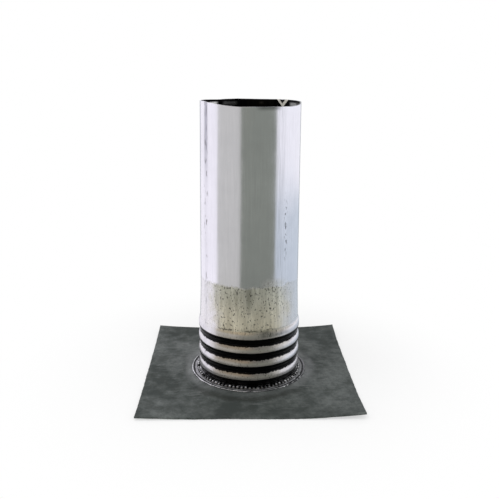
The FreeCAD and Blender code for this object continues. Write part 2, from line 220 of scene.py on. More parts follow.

# %% [markdown]
# ## The sleeve
# A drawn lead sleeve is a tube of one even wall, so one skin tells the whole shape: how far it stands from
# the axis at each height. The tree starts with a flat grid, reads its length as height and its width as the
# way round, and bends it into the tube. In the ribs, the skin follows a broad arc, and between two ribs it
# comes back to the plain tube. Small dents, uneven ribs, a slight flare above them, a rim that sags in
# front and one nick keep it from looking machined. Their sizes are chosen. Solidify then gives the
# skin its wall, inwards.

# %% Sleeve tree: grid, height and way round
sleeve_tree, given, sleeve_out = geometry_tree("ribbed sleeve", {
    "Outside": ("NodeSocketFloat", OUTSIDE),
    "Foot": ("NodeSocketFloat", FOOT),
    "Ribs from": ("NodeSocketFloat", RIBS_AT),
    "Top": ("NodeSocketFloat", TOP),
    "Ribs": ("NodeSocketInt", RIB_COUNT),
    "Pitch": ("NodeSocketFloat", RIB_PITCH),
    "Land": ("NodeSocketFloat", RIB_LAND),
    "Depth": ("NodeSocketFloat", RIB_DEPTH),
    "Columns": ("NodeSocketInt", 289),
    "Rows": ("NodeSocketInt", 161),
    "Dents": ("NodeSocketFloat", 0.0),
    "Metal": ("NodeSocketMaterial", None),
})
t = sleeve_tree
grid = add(t, "GeometryNodeMeshGrid", {
    "Size X": 1.0, "Size Y": 1.0, "Vertices X": given["Columns"], "Vertices Y": given["Rows"],
})
flat = add(t, "ShaderNodeSeparateXYZ", {0: add(t, "GeometryNodeInputPosition").outputs[0]})
turn = calc(t, "MULTIPLY", calc(t, "ADD", flat.outputs[0], 0.5), 2 * math.pi)
climb = calc(t, "ADD", flat.outputs[1], 0.5)
FOOT_ROWS, RIB_ROWS, RIM_ROWS = 5 / 160, 112 / 160, 158 / 160     # shares of the rows where each part ends
RIM_HEIGHT = 0.5 * MM         # two close rows under the rim keep the wall's shading straight up to it
foot_height = calc(t, "SUBTRACT", given["Ribs from"], given["Foot"])
in_foot = calc(t, "MULTIPLY", ramp(t, climb, 0.0, FOOT_ROWS, smooth=False), foot_height)
rib_height = calc(t, "MULTIPLY", given["Ribs"], given["Pitch"])
in_ribs = calc(t, "MULTIPLY", ramp(t, climb, FOOT_ROWS, RIB_ROWS, smooth=False), rib_height)
plain_height = calc(t, "SUBTRACT", calc(t, "SUBTRACT", given["Top"], given["Ribs from"]), rib_height)
tube_height = calc(t, "SUBTRACT", plain_height, RIM_HEIGHT)
in_tube = calc(t, "MULTIPLY", ramp(t, climb, RIB_ROWS, RIM_ROWS, smooth=False), tube_height)
in_rim = ramp(t, climb, RIM_ROWS, 1.0, 0.0, RIM_HEIGHT, smooth=False)
height = given["Foot"]
for part in (in_foot, in_ribs, in_tube, in_rim):
    height = calc(t, "ADD", height, part)

# %% Sleeve tree: the ribs
rib_way = calc(t, "DIVIDE", in_ribs, given["Pitch"])
from_crown = calc(t, "ABSOLUTE", calc(t, "SUBTRACT", calc(t, "FRACT", rib_way), 0.5))
off_crown = calc(t, "MULTIPLY", from_crown, given["Pitch"])
half_rib = calc(t, "MULTIPLY", calc(t, "SUBTRACT", given["Pitch"], given["Land"]), 0.5)
crown_radius = calc(
    t, "DIVIDE",
    calc(t, "ADD", calc(t, "POWER", half_rib, 2.0), calc(t, "POWER", given["Depth"], 2.0)),
    calc(t, "MULTIPLY", given["Depth"], 2.0),
)
arc_square = calc(t, "SUBTRACT", calc(t, "POWER", crown_radius, 2.0), calc(t, "POWER", off_crown, 2.0))
arc = calc(t, "SUBTRACT", calc(t, "SQRT", arc_square), calc(t, "SUBTRACT", crown_radius, given["Depth"]))
CREASE_SOFTNESS = 0.5 * MM
rib_bulge = calc(t, "SMOOTH_MAX", arc, 0.0, CREASE_SOFTNESS)

# %% Sleeve tree: dents, a wavy rim and the nick
around = add(t, "ShaderNodeCombineXYZ", {
    0: calc(t, "COSINE", turn), 1: calc(t, "SINE", turn), 2: calc(t, "MULTIPLY", height, 9.0),
}).outputs[0]
unevenness = calc(t, "SUBTRACT", noise_at(t, around, 2.3, 1.0), 0.5)
wobble = calc(t, "SUBTRACT", noise_at(t, stretch(t, around, (1.0, 1.0, 0.35)), 1.6, 2.0), 0.5)
dented = calc(t, "MULTIPLY", wobble, given["Dents"])
near_rim = ramp(t, calc(t, "SUBTRACT", given["Top"], height), 0.03, 0.0)
ribbed = calc(t, "MULTIPLY", rib_bulge, calc(t, "ADD", 1.0, calc(t, "MULTIPLY", unevenness, 0.14)))

NICK_TURN = math.radians(45.0)      # the nick's place round the rim, from +X towards +Y
NICK_WIDTH = math.radians(8.0)
NICK_DEPTH = 2.2 * MM
NICK_HEIGHT = 8.7 * MM
nick_off = calc(t, "DIVIDE", calc(t, "SUBTRACT", turn, NICK_TURN), NICK_WIDTH)
nick_shape = calc(t, "MAXIMUM", calc(t, "SUBTRACT", 1.0, calc(t, "ABSOLUTE", nick_off)), 0.0)
nick_rise = ramp(t, calc(t, "SUBTRACT", given["Top"], height), NICK_HEIGHT, 0.0, smooth=False)
nick = calc(t, "MULTIPLY", calc(t, "MULTIPLY", nick_shape, nick_rise), NICK_DEPTH)

FLARE = 0.9 * MM              # the tube widens a touch towards the rolled ribs
FLARE_FADE = 45 * MM          # the flare is gone this far above the ribs
FLARE_IN_RIB = 8 * MM         # and begins this far down in the top rib
rib_stack = RIB_COUNT * RIB_PITCH
flare_above = ramp(t, in_tube, FLARE_FADE, 0.0, 0.0, FLARE)
flare_below = ramp(t, in_ribs, rib_stack - FLARE_IN_RIB, rib_stack)
flare = calc(t, "MULTIPLY", flare_above, flare_below)
radius = given["Outside"]
for part in (ribbed, dented, flare):
    radius = calc(t, "ADD", radius, part)
radius = calc(t, "SUBTRACT", radius, nick)
RIM_WAVE = 0.7 * MM
RIM_RISE = 1.2 * MM                 # the rim stands up behind
RIM_DIP = 4.2 * MM                  # and lies this much lower where it sags in front
DIP_TURN = math.radians(-72.0)
towards_dip = calc(t, "COSINE", calc(t, "SUBTRACT", turn, DIP_TURN))
facing_dip = ramp(t, towards_dip, 0.05, 0.9, RIM_RISE, RIM_RISE - RIM_DIP)
rim_lift = calc(t, "ADD", facing_dip, calc(t, "MULTIPLY", unevenness, 2 * RIM_WAVE))
rim_wave = calc(t, "MULTIPLY", rim_lift, near_rim)
bent = add(t, "ShaderNodeCombineXYZ", {
    0: calc(t, "MULTIPLY", radius, calc(t, "COSINE", turn)),
    1: calc(t, "MULTIPLY", radius, calc(t, "SINE", turn)),
    2: calc(t, "ADD", height, rim_wave),
}).outputs[0]
tube = add(t, "GeometryNodeSetPosition", {"Geometry": grid.outputs["Mesh"], "Position": bent})
closed = add(t, "GeometryNodeMergeByDistance", {"Geometry": tube.outputs[0], "Distance": 0.01 * MM})
smooth = add(t, "GeometryNodeSetShadeSmooth", {0: closed.outputs[0]})
real = add(t, "GeometryNodeRealizeInstances", {0: smooth.outputs[0]})
clad = add(t, "GeometryNodeSetMaterial", {0: real.outputs[0], "Material": given["Metal"]})
t.links.new(clad.outputs[0], sleeve_out.inputs[0])
print("sleeve tree has", len(t.nodes), "nodes")

# %% [markdown]
# A tree puts its material on with Set Material, so the materials have to exist before the first piece is
# grown. They're only named here. Each gets its nodes further on, next to the words about that finish.

# %% The finishes, named now and painted later
def new_finish(name):
    """A new material with its shader and output nodes."""
    material = bpy.data.materials.new(name)
    material.use_nodes = True
    return material


drawn_lead = new_finish("drawn_lead")
bore_lead = new_finish("bore_lead")
sheet_lead = new_finish("sheet_lead")
burned_lead = new_finish("burned_lead")
print("finishes:", [material.name for material in bpy.data.materials])

# %% Grow the sleeve, and give the wall its thickness inwards
def give_wall(seed):
    wall = seed.modifiers.new("wall", "SOLIDIFY")
    wall.thickness = WALL
    wall.offset = -1.0


sleeve = grow("drawn_sleeve", sleeve_tree, {"Metal": drawn_lead, "Dents": 0.9 * MM}, give_wall)
sleeve.data.materials.clear()
sleeve.data.materials.append(drawn_lead)
sleeve.data.materials.append(bore_lead)
for polygon in sleeve.data.polygons:
    outwards = Vector((polygon.center.x, polygon.center.y, 0.0)).normalized()
    polygon.material_index = 1 if polygon.normal.dot(outwards) < -0.3 else 0
    polygon.use_smooth = abs(polygon.normal.z) < 0.9        # the cut edges of the wall stay crisp
inside = sum(polygon.material_index for polygon in sleeve.data.polygons)
print("inner wall faces:", inside)

# %% [markdown]
# ## The sheet
# The flashing is a square of milled lead with a round hole, a little bent. It could be a subdivided plane,
# but then the hole's edge would be ragged. Here it's swept round the axis instead: at each step of the
# turn, one thin closed section runs from the hole to the square's outline and back underneath. Four of the
# steps fall on the corners, so those stay crisp. Each corner curls up along its own wide arc, and the sheet
# stands a little proud round the seam, by a given height.

# %% A ring swept round the axis
def ring_mesh(name, section, columns, material):
    """Joins closed sections, one at each step round the axis, into a ring without ends."""
    made = bmesh.new()
    rings = []
    for column in range(columns):
        turn = 2 * math.pi * column / columns
        rings.append([made.verts.new(point) for point in section(turn)])
    for here, beyond in zip(rings, rings[1:] + rings[:1]):
        for row in range(len(here)):
            after = (row + 1) % len(here)
            made.faces.new((here[row], beyond[row], beyond[after], here[after]))
    bmesh.ops.recalc_face_normals(made, faces=made.faces)
    mesh = bpy.data.meshes.new(name)
    made.to_mesh(mesh)
    made.free()
    mesh.materials.append(material)
    piece = new_piece(name, mesh)
    shade_smooth(piece)
    print(name, len(mesh.polygons), "faces")
    return piece


def unit_noise(x, y, z=0.0):
    """Smooth noise from -1 to 1, at about one bump for each unit of distance."""
    return noise.noise(Vector((x, y, z)))


# %% Sheet
SHEET_THICKNESS = 2.0 * MM
CORNER_FLAP = 62 * MM                                       # length of a curl, along the diagonal
LIFTS = {45: 4.5 * MM, 135: 3.5 * MM, 225: 2.0 * MM, 315: 5.0 * MM}    # rise of each corner, by its angle
FOLD = HALF_SIDE * math.sqrt(2) - CORNER_FLAP
SHEET_COLUMNS = 480
SHEET_ROWS = 44
FLAT_TO = 76 * MM           # the sheet lies flat under the seam and the melt, and waves begin outside
SWELL = 1.5 * MM            # lifts the sheet round the seam, a given height
SWELL_FADE = 45 * MM        # the lift is gone this far outside the flat ring


def curl(x, y):
    """How far the sheet's corners have risen at a place."""
    rise = 0.0
    for angle, lift in LIFTS.items():
        along = x * math.cos(math.radians(angle)) + y * math.sin(math.radians(angle)) - FOLD
        if along > 0:
            bend = (CORNER_FLAP ** 2 + lift ** 2) / (2 * lift)
            rise += bend - math.sqrt(bend ** 2 - along ** 2)
    return rise


def waves(x, y):
    """Broad waves of the sheet, from none at the seam to full near the outline."""
    share = min(max((math.hypot(x, y) - FLAT_TO) / (40 * MM), 0.0), 1.0)
    return share * (0.55 + 0.55 * unit_noise(x * 22, y * 22, 3.7)) * 0.9 * MM


def swell(far):
    """How far the sheet stands proud near the seam, fading to nothing further out."""
    share = min(max((FLAT_TO + SWELL_FADE - far) / SWELL_FADE, 0.0), 1.0)
    return SWELL * share * share * (3 - 2 * share)


def sheet_section(turn):
    """One closed cut through the sheet, from the hole out to the outline and back underneath."""
    way = Vector((math.cos(turn), math.sin(turn)))
    reach = HALF_SIDE / max(abs(way.x), abs(way.y))
    broad_wander = 0.3 * unit_noise(way.x * 9, way.y * 9, 8.1)
    fine_wander = 0.4 * unit_noise(way.x * 34, way.y * 34, 5.2)
    reach -= (0.5 + broad_wander + fine_wander) * MM
    top, under = [], []
    for row in range(SHEET_ROWS + 1):
        far = BORE + (reach - BORE) * row / SHEET_ROWS
        x, y = way * far
        rise = curl(x, y)
        lift = rise + waves(x, y) + swell(far)
        dent = 0.12 * MM * unit_noise(x * 90, y * 90, 1.3) if far > FLAT_TO else 0.0
        top.append((x, y, SHEET_THICKNESS + lift + dent))
        under.append((x, y, lift))
    edge = 0.25 * MM       # the small round along the outline
    (x, y, high), (_, _, low) = top[-1], under[-1]
    inner = 1 - edge / reach
    top[-1] = (x * inner, y * inner, high)
    under[-1] = (x * inner, y * inner, low)
    return top + [(x, y, high - edge), (x, y, low + edge)] + under[::-1]


sheet = ring_mesh("flashing_sheet_skin", sheet_section, SHEET_COLUMNS, sheet_lead)

# %% [markdown]
# ## The burned seam
# A lead burner joins sleeve and sheet with a flame: the metal melts into a fillet, and each dab of the
# flame freezes as a ripple. Round it runs the edge of the melt, a thin raised ring. The fillet, the gutter
# and that edge are one more section swept round the axis. The ripples are all alike, so they're one small
# bead on a circle of points, in Geometry Nodes, each with its own random size.

# %% Fillet, gutter and melted edge
SEAM_RISE = 2.4 * MM
TOE = OUTSIDE + 7.0 * MM
GUTTER_OUT = TOE + 2.4 * MM
BASE = SHEET_THICKNESS + SWELL


def seam_ring_section(turn):
    """One closed cut through the seam, from the sleeve's wall to the melted edge and back underneath."""
    x, y = math.cos(turn), math.sin(turn)
    sway = 0.35 * MM * unit_noise(x * 5, y * 5, 2.2)
    fullness = 1 + 0.2 * unit_noise(x * 11, y * 11, 6.4)
    fillet_from, edge_from = OUTSIDE + 0.9 * MM, GUTTER_OUT + 0.3 * MM
    start, rim = OUTSIDE - 0.6 * MM, SEAM_OUTSIDE - 0.4 * MM + sway
    outline = [(start, BASE - 0.3 * MM), (start, BASE + SEAM_RISE)]
    for step in range(9):
        share = step / 8
        hollow = 0.8 + (SEAM_RISE / MM - 0.8) * (1 - share) ** 2
        outline.append((fillet_from + (TOE - fillet_from) * share + sway, BASE + hollow * MM * fullness))
    outline += [
        (TOE + 0.35 * MM + sway, BASE + 0.5 * MM), (TOE + 0.7 * MM + sway, BASE + 0.3 * MM),
        (GUTTER_OUT - 0.3 * MM + sway, BASE + 0.25 * MM), (GUTTER_OUT + 0.1 * MM + sway, BASE + 0.5 * MM),
    ]
    for step in range(7):
        share = step / 6
        arch = math.sin(math.pi * (0.15 + 0.7 * share))
        outline.append((edge_from + (rim - edge_from) * share, BASE + 1.05 * MM * arch * fullness))
    outline += [(SEAM_OUTSIDE + sway / 2, BASE + 0.1 * MM), (SEAM_OUTSIDE + sway / 2, BASE - 0.3 * MM)]
    return [(r * x, r * y, z) for r, z in outline]


seam_ring = ring_mesh("burned_seam_ring", seam_ring_section, 360, burned_lead)

# %% Ripples: one bead on a circle of points
ripple_tree, given, ripple_out = geometry_tree("seam ripples", {
    "Count": ("NodeSocketInt", 84),
    "Radius": ("NodeSocketFloat", 63.6 * MM),
    "Height": ("NodeSocketFloat", BASE + 0.9 * MM),
    "Length": ("NodeSocketFloat", 4.8 * MM),
    "Width": ("NodeSocketFloat", 4.4 * MM),
    "Rise": ("NodeSocketFloat", 2.0 * MM),
    "Seed": ("NodeSocketInt", 7),
    "Metal": ("NodeSocketMaterial", None),
})
t = ripple_tree
points = add(t, "GeometryNodeMeshCircle", {"Vertices": given["Count"], "Radius": given["Radius"]})
raised = add(t, "GeometryNodeSetPosition", {
    "Geometry": points.outputs[0],
    "Offset": add(t, "ShaderNodeCombineXYZ", {2: given["Height"]}).outputs[0],
})
place = add(t, "ShaderNodeSeparateXYZ", {0: add(t, "GeometryNodeInputPosition").outputs[0]})
heading = add(t, "ShaderNodeCombineXYZ", {2: calc(t, "ARCTAN2", place.outputs[1], place.outputs[0])})
bead = add(t, "GeometryNodeMeshUVSphere", {"Segments": 10, "Rings": 7, "Radius": 0.5})
own_size = add(
    t, "FunctionNodeRandomValue",
    {"Min": (0.8, 0.85, 0.75), "Max": (1.1, 1.2, 1.2), "Seed": given["Seed"]}, data_type="FLOAT_VECTOR",
)
bead_height = calc(t, "MULTIPLY", given["Rise"], 2)
bead_size = add(t, "ShaderNodeCombineXYZ", {0: given["Length"], 1: given["Width"], 2: bead_height})
size_now = stretch(t, own_size.outputs[0], bead_size.outputs[0])
beads = add(t, "GeometryNodeInstanceOnPoints", {
    "Points": raised.outputs[0], "Instance": bead.outputs[0],
    "Rotation": heading.outputs[0], "Scale": size_now,
})
smooth = add(t, "GeometryNodeSetShadeSmooth", {0: beads.outputs[0]})
real = add(t, "GeometryNodeRealizeInstances", {0: smooth.outputs[0]})
clad = add(t, "GeometryNodeSetMaterial", {0: real.outputs[0], "Material": given["Metal"]})
t.links.new(clad.outputs[0], ripple_out.inputs[0])
ripples = grow("seam_ripples", ripple_tree, {"Metal": burned_lead})
ripples.data.materials.clear()
ripples.data.materials.append(burned_lead)
for polygon in ripples.data.polygons:
    polygon.material_index = 0

# %% [markdown]
# ## Effects that the finishes share
# Drawn lead, milled lead and burned lead differ in colour, but the same three things happen on each: the
# grey clouds over, fine lines or scratches run one way, and small specks of oxide sit on top. Each effect
# is a node group, built once and placed in every material with its own values. A group gives out a mask
# only. The colours are mixed in the material, where they're easy to find.

# %% Helpers for shader groups
def effect(name, inputs, outputs):
    """A shader group with named inputs and plain number outputs: its tree, input sockets and output node."""
    tree = bpy.data.node_groups.new(name, "ShaderNodeTree")
    for label, (kind, value) in inputs.items():
        socket = tree.interface.new_socket(label, in_out="INPUT", socket_type=kind)
        if value is not None:
            socket.default_value = value
    for label in outputs:
        tree.interface.new_socket(label, in_out="OUTPUT", socket_type="NodeSocketFloat")
    return tree, tree.nodes.new("NodeGroupInput").outputs, tree.nodes.new("NodeGroupOutput")


def use(tree, group, inputs, out=0):
    """Places a shader group in a tree, with its named inputs, and gives back one output."""
    node = tree.nodes.new("ShaderNodeGroup")
    node.node_tree = group
    for key, value in inputs.items():
        if isinstance(value, bpy.types.NodeSocket):
            tree.links.new(value, node.inputs[key])
        else:
            node.inputs[key].default_value = value
    return node.outputs[out]

# %% Clouding: broad and fine blotches in one mask
clouding, given, made_out = effect("clouding", {
    "Vector": ("NodeSocketVector", None),
    "Broad": ("NodeSocketFloat", 18.0),
    "Fine": ("NodeSocketFloat", 90.0),
    "Contrast": ("NodeSocketFloat", 1.0),
}, ["Mask"])
t = clouding
broad = noise_at(t, given["Vector"], given["Broad"], 3.0, 0.6)
fine = noise_at(t, given["Vector"], given["Fine"], 4.0, 0.65)
both = calc(t, "ADD", calc(t, "MULTIPLY", broad, 0.62), calc(t, "MULTIPLY", fine, 0.38))
centred = calc(t, "MULTIPLY", calc(t, "SUBTRACT", both, 0.5), given["Contrast"])
t.links.new(calc(t, "ADD", calc(t, "MULTIPLY", centred, 3.0), 0.5, clamp=True), made_out.inputs["Mask"])

# %% Lines: noise drawn out along one axis
lines, given, made_out = effect("lines", {
    "Vector": ("NodeSocketVector", None),
    "Along": ("NodeSocketVector", (1.0, 1.0, 0.02)),
    "Fineness": ("NodeSocketFloat", 700.0),
    "Sharpness": ("NodeSocketFloat", 1.0),
}, ["Mask"])
t = lines
drawn_out = stretch(t, given["Vector"], given["Along"])
thread = noise_at(t, drawn_out, given["Fineness"], 3.0, 0.7)
sharp = calc(t, "MULTIPLY", calc(t, "SUBTRACT", thread, 0.5), calc(t, "MULTIPLY", given["Sharpness"], 3.0))
t.links.new(calc(t, "ADD", sharp, 0.5, clamp=True), made_out.inputs["Mask"])

# %% Specks: the peaks of fine noise, sorted by how many are wanted
specks, given, made_out = effect("specks", {
    "Vector": ("NodeSocketVector", None),
    "Fineness": ("NodeSocketFloat", 600.0),
    "Share": ("NodeSocketFloat", 0.2),
}, ["Mask"])
t = specks
grains = noise_at(t, given["Vector"], given["Fineness"], 2.0, 0.55)
level = ramp(t, given["Share"], 0.0, 1.0, 0.78, 0.38, smooth=False)
over_level = calc(t, "SUBTRACT", grains, level)
t.links.new(calc(t, "MULTIPLY", over_level, 22.0, clamp=True), made_out.inputs["Mask"])
print("shared effects:", [group.name for group in (clouding, lines, specks)])

# %% Helpers for placing marks
def begin(material):
    """The material's tree and shader, and the place on the piece: its vector, radius, turn and height."""
    tree = material.node_tree
    shader = next(node for node in tree.nodes if node.type == "BSDF_PRINCIPLED")
    vector = add(tree, "ShaderNodeTexCoord").outputs["Object"]
    x, y, z = add(tree, "ShaderNodeSeparateXYZ", {0: vector}).outputs
    far = calc(tree, "SQRT", calc(tree, "ADD", calc(tree, "MULTIPLY", x, x), calc(tree, "MULTIPLY", y, y)))
    return tree, shader, vector, far, calc(tree, "ARCTAN2", y, x), z


def band(tree, value, low, high, soft):
    """1 between low and high, fading to 0 over the soft width at both ends."""
    rising = ramp(tree, value, low - soft, low + soft)
    falling = ramp(tree, value, high + soft, high - soft)
    return calc(tree, "MULTIPLY", rising, falling)


def both_of(tree, *masks):
    """The masks multiplied: 1 only where all are."""
    total = masks[0]
    for mask in masks[1:]:
        total = calc(tree, "MULTIPLY", total, mask)
    return total


def bumped(tree, shader, height, strength, distance):
    """Feeds a height to the shader's normal through a Bump node."""
    bump = add(tree, "ShaderNodeBump", {"Height": height, "Strength": strength, "Distance": distance})
    tree.links.new(bump.outputs[0], shader.inputs["Normal"])

# %% [markdown]
# ## Drawn lead
# Fresh drawn lead is nearly a mirror, with fine lines up and down from the die. Its lower third has
# tarnished to a dull beige, with dark specks and a ragged upper edge. The black bands under every rib are
# painted shade. The ribs repeat, so the place within one rib is the fraction of the height over the pitch:
# 0 at a land, a half at the crown. That one number puts the painted shade in the same place on all four.

# %% Drawn lead: the bright metal
t, shader, vector, far, turn, height = begin(drawn_lead)
clouds = use(t, clouding, {"Vector": vector, "Broad": 14.0, "Fine": 70.0, "Contrast": 1.0})
die_lines = use(t, lines, {"Vector": vector, "Fineness": 900.0, "Sharpness": 0.8})
bright = mix(t, clouds, (0.82, 0.81, 0.85, 1), (0.93, 0.92, 0.96, 1))
streak_place = band(t, turn, math.radians(-60), math.radians(-50), 0.04)
streak_depth = calc(t, "ADD", 0.24, calc(t, "MULTIPLY", streak_place, 0.5))
bright = mix(t, calc(t, "MULTIPLY", die_lines, streak_depth), bright, (0.55, 0.55, 0.58, 1))

# %% Drawn lead: tarnish above the ribs
ragged = use(t, clouding, {
    "Vector": stretch(t, vector, (1, 1, 0.5)), "Broad": 60.0, "Fine": 500.0, "Contrast": 1.0,
})
TARNISH_TOP = 127.0 * MM
edge_height = calc(t, "ADD", height, calc(t, "MULTIPLY", calc(t, "SUBTRACT", ragged, 0.5), 5 * MM))
tarnish_low = ramp(t, edge_height, TARNISH_TOP + 1.5 * MM, TARNISH_TOP - 2.5 * MM)
upper_smudge = both_of(t, band(t, turn, math.radians(-76), math.radians(-46), 0.12),
                       ramp(t, edge_height, TARNISH_TOP + 12 * MM, TARNISH_TOP + 2 * MM), 0.5)
tarnish_low = calc(t, "MAXIMUM", tarnish_low, upper_smudge)
FRONT = -math.pi / 2
off_front = calc(t, "SUBTRACT", turn, FRONT)
side_sway = calc(t, "MULTIPLY", calc(t, "SUBTRACT", clouds, 0.5), 0.5)
sway_turn = calc(t, "ADD", off_front, side_sway)
left_fade = ramp(t, sway_turn, math.radians(-58), math.radians(-34))
right_fade = ramp(t, sway_turn, math.radians(62), math.radians(24))
back_side = ramp(t, calc(t, "COSINE", off_front), 0.15, -0.5)
tarnish_side = calc(t, "MAXIMUM", both_of(t, left_fade, right_fade), back_side)
tarnish = both_of(t, tarnish_low, ramp(t, tarnish_side, 0.0, 1.0, 0.22, 1.0, smooth=False),
                  ramp(t, height, RIBS_TOP + 1 * MM, RIBS_TOP - 5 * MM, 1.0, 0.6))
dull_streaks = use(t, lines, {"Vector": vector, "Along": (1, 1, 0.10), "Fineness": 300.0, "Sharpness": 0.8})
yellowing = ramp(t, height, TARNISH_TOP, RIBS_TOP)
pale_beige = mix(t, yellowing, (0.72, 0.71, 0.62, 1), (0.93, 0.87, 0.70, 1))
deep_beige = mix(t, yellowing, (0.38, 0.38, 0.31, 1), (0.54, 0.49, 0.37, 1))
beige = mix(t, dull_streaks, deep_beige, pale_beige)
beige = mix(t, calc(t, "MULTIPLY", ragged, 0.25), beige, (0.30, 0.29, 0.24, 1))
beige = mix(t, ramp(t, height, RIBS_TOP - 2 * MM, RIBS_TOP - 6 * MM, 0.0, 0.9), beige, (0.36, 0.31, 0.22, 1))
dark_streak = both_of(
    t, band(t, turn, math.radians(-96), math.radians(-88), 0.05), ramp(t, height, 88 * MM, 108 * MM), 0.35,
)
beige = mix(t, dark_streak, beige, (0.10, 0.10, 0.08, 1))
tarnished = mix(t, tarnish, bright, beige)

# %% Drawn lead: specks in the tarnish and dark lines on the bright metal
speck_share = ramp(t, height, 122 * MM, 82 * MM, 0.47, 0.42)
speck_row = band(t, edge_height, TARNISH_TOP - 3.5 * MM, TARNISH_TOP - 1.5 * MM, 1.0 * MM)
row_breaks = use(t, clouding, {"Vector": vector, "Broad": 70.0, "Fine": 200.0, "Contrast": 3.0})
speck_share = calc(t, "ADD", speck_share, calc(t, "MULTIPLY", both_of(t, speck_row, row_breaks), 0.22))
tarnish_specks = use(t, specks, {
    "Vector": stretch(t, vector, (1, 1, 0.7)), "Fineness": 560.0, "Share": speck_share,
})
tarnish_specks = both_of(t, tarnish_specks, tarnish)
SPECK_LINE = math.radians(-149.7)
SIDE_SPECKS = math.radians(-47.3)
line_wander = calc(t, "SUBTRACT", noise_at(t, vector, 16.0), 0.5)
line_sway = calc(t, "ADD", turn, calc(t, "MULTIPLY", line_wander, 0.10))
line_band = band(t, line_sway, SPECK_LINE - 0.06, SPECK_LINE + 0.06, 0.04)
line_share = ramp(t, height, 250 * MM, 300 * MM, 0.42, 0.55)
line_marks = use(t, specks, {
    "Vector": stretch(t, vector, (1, 1, 0.22)), "Fineness": 380.0, "Share": line_share,
})
side_band = both_of(t, band(t, line_sway, SIDE_SPECKS - 0.03, SIDE_SPECKS + 0.03, 0.03),
                    band(t, height, 162 * MM, 230 * MM, 12 * MM))
side_marks = use(t, specks, {"Vector": stretch(t, vector, (1, 1, 0.4)), "Fineness": 520.0, "Share": 0.52})
smudge_band = both_of(t, band(t, turn, math.radians(-83), math.radians(-58), 0.08),
                      ramp(t, height, TOP - 8.5 * MM, TOP - 4 * MM))
line_marks = both_of(t, line_band, line_marks, ramp(t, height, 250 * MM, 300 * MM, 1.0, 0.5))
marks = calc(t, "MAXIMUM", line_marks, both_of(t, side_band, side_marks))
marks = calc(t, "MAXIMUM", marks, calc(t, "MULTIPLY", smudge_band, 0.6))
line_grey = calc(t, "MULTIPLY", line_band, ramp(t, height, 230 * MM, 310 * MM, 0.15, 0.8))
marked = mix(t, line_grey, tarnished, (0.35, 0.35, 0.40, 1))
all_marks = calc(t, "MAXIMUM", tarnish_specks, marks)
marked = mix(t, calc(t, "MULTIPLY", all_marks, 0.85), marked, (0.03, 0.03, 0.028, 1))

# %% Drawn lead: painted shade under the ribs
rib_place = calc(t, "FRACT", calc(t, "DIVIDE", calc(t, "SUBTRACT", height, RIBS_AT), RIB_PITCH))
ragged_lines = use(t, lines, {"Vector": vector, "Along": (1, 1, 0.2), "Fineness": 420.0, "Sharpness": 1.0})
ragged_reach = calc(t, "ADD", calc(t, "MULTIPLY", ragged_lines, 0.06), calc(t, "MULTIPLY", ragged, 0.07))
# Painted shade: nearly black from a little below each land up to just under the crown above it, and on the
# plain foot below the ribs, with a ragged lower edge.
under_crown = ramp(t, rib_place, 0.47, 0.42)
over_land = ramp(t, calc(t, "ADD", rib_place, ragged_reach), 0.90, 0.95)
painted_shade = calc(t, "MAXIMUM", under_crown, over_land)
painted_shade = both_of(t, painted_shade, ramp(t, height, RIBS_TOP - 4.0 * MM, RIBS_TOP - 5.0 * MM))
painted_shade = calc(t, "MAXIMUM", painted_shade, ramp(t, height, RIBS_AT + 0.4 * MM, RIBS_AT - 0.4 * MM))
# A thin dark line along the top of the ribs and a dark patch on the top rib at the front right are painted
# dark reflections, added to the painted shade.
shoulder_line = both_of(
    t, band(t, edge_height, RIBS_TOP + 0.2 * MM, RIBS_TOP + 1.6 * MM, 0.6 * MM), tarnish_side, row_breaks,
)
dark_reflection_patch = both_of(t, band(t, turn, math.radians(-80), math.radians(-45), 0.10),
                band(t, height, RIBS_TOP - 7.5 * MM, RIBS_TOP + 1.0 * MM, 1.5 * MM), dull_streaks)
dark_reflections = calc(t, "MAXIMUM", calc(t, "MULTIPLY", shoulder_line, 0.7), calc(t, "MULTIPLY", dark_reflection_patch, 0.75))
painted_shade = calc(t, "MAXIMUM", painted_shade, dark_reflections)
rib_zone = ramp(t, height, RIBS_TOP + 5 * MM, RIBS_TOP - 2 * MM)
# Grey specks over the lands, inside the painted shade, are painted glints.
painted_glints = both_of(t, use(t, specks, {"Vector": vector, "Fineness": 520.0, "Share": 0.16}), over_land)
with_painted_shade = mix(t, painted_shade, marked, (0.010, 0.010, 0.011, 1))
with_painted_shade = mix(t, calc(t, "MULTIPLY", painted_glints, 0.5), with_painted_shade, (0.4, 0.4, 0.42, 1))
t.links.new(with_painted_shade, shader.inputs["Base Color"])

# %% Drawn lead: gloss and relief
dull = both_of(t, tarnish, ramp(t, rib_zone, 0.0, 1.0, 1.0, 0.45, smooth=False), ramp(t, painted_shade, 0, 1, 1, 0))
t.links.new(ramp(t, dull, 0.0, 1.0, 1.0, 0.62, smooth=False), shader.inputs["Metallic"])
rough = calc(t, "ADD", 0.13, calc(t, "MULTIPLY", clouds, 0.08))
rough = calc(t, "ADD", rough, calc(t, "MULTIPLY", dull, 0.22))
rough = calc(t, "ADD", rough, calc(t, "MULTIPLY", rib_zone, 0.12))
t.links.new(rough, shader.inputs["Roughness"])
relief = calc(t, "ADD", calc(t, "MULTIPLY", die_lines, 0.25), calc(t, "MULTIPLY", tarnish_specks, -0.6))
bumped(t, shader, relief, 0.12, 0.25 * MM)
print("drawn_lead has", len(t.nodes), "nodes")

# %% [markdown]
# The bore's colour is nearly black, painted shade inside the tube, and a few places near the rim are bright.
# The nick's creased edges are bright too.

# %% Bore lead
t, shader, vector, far, turn, height = begin(bore_lead)
streaks = use(t, lines, {"Vector": vector, "Along": (1, 1, 0.05), "Fineness": 260.0, "Sharpness": 1.0})
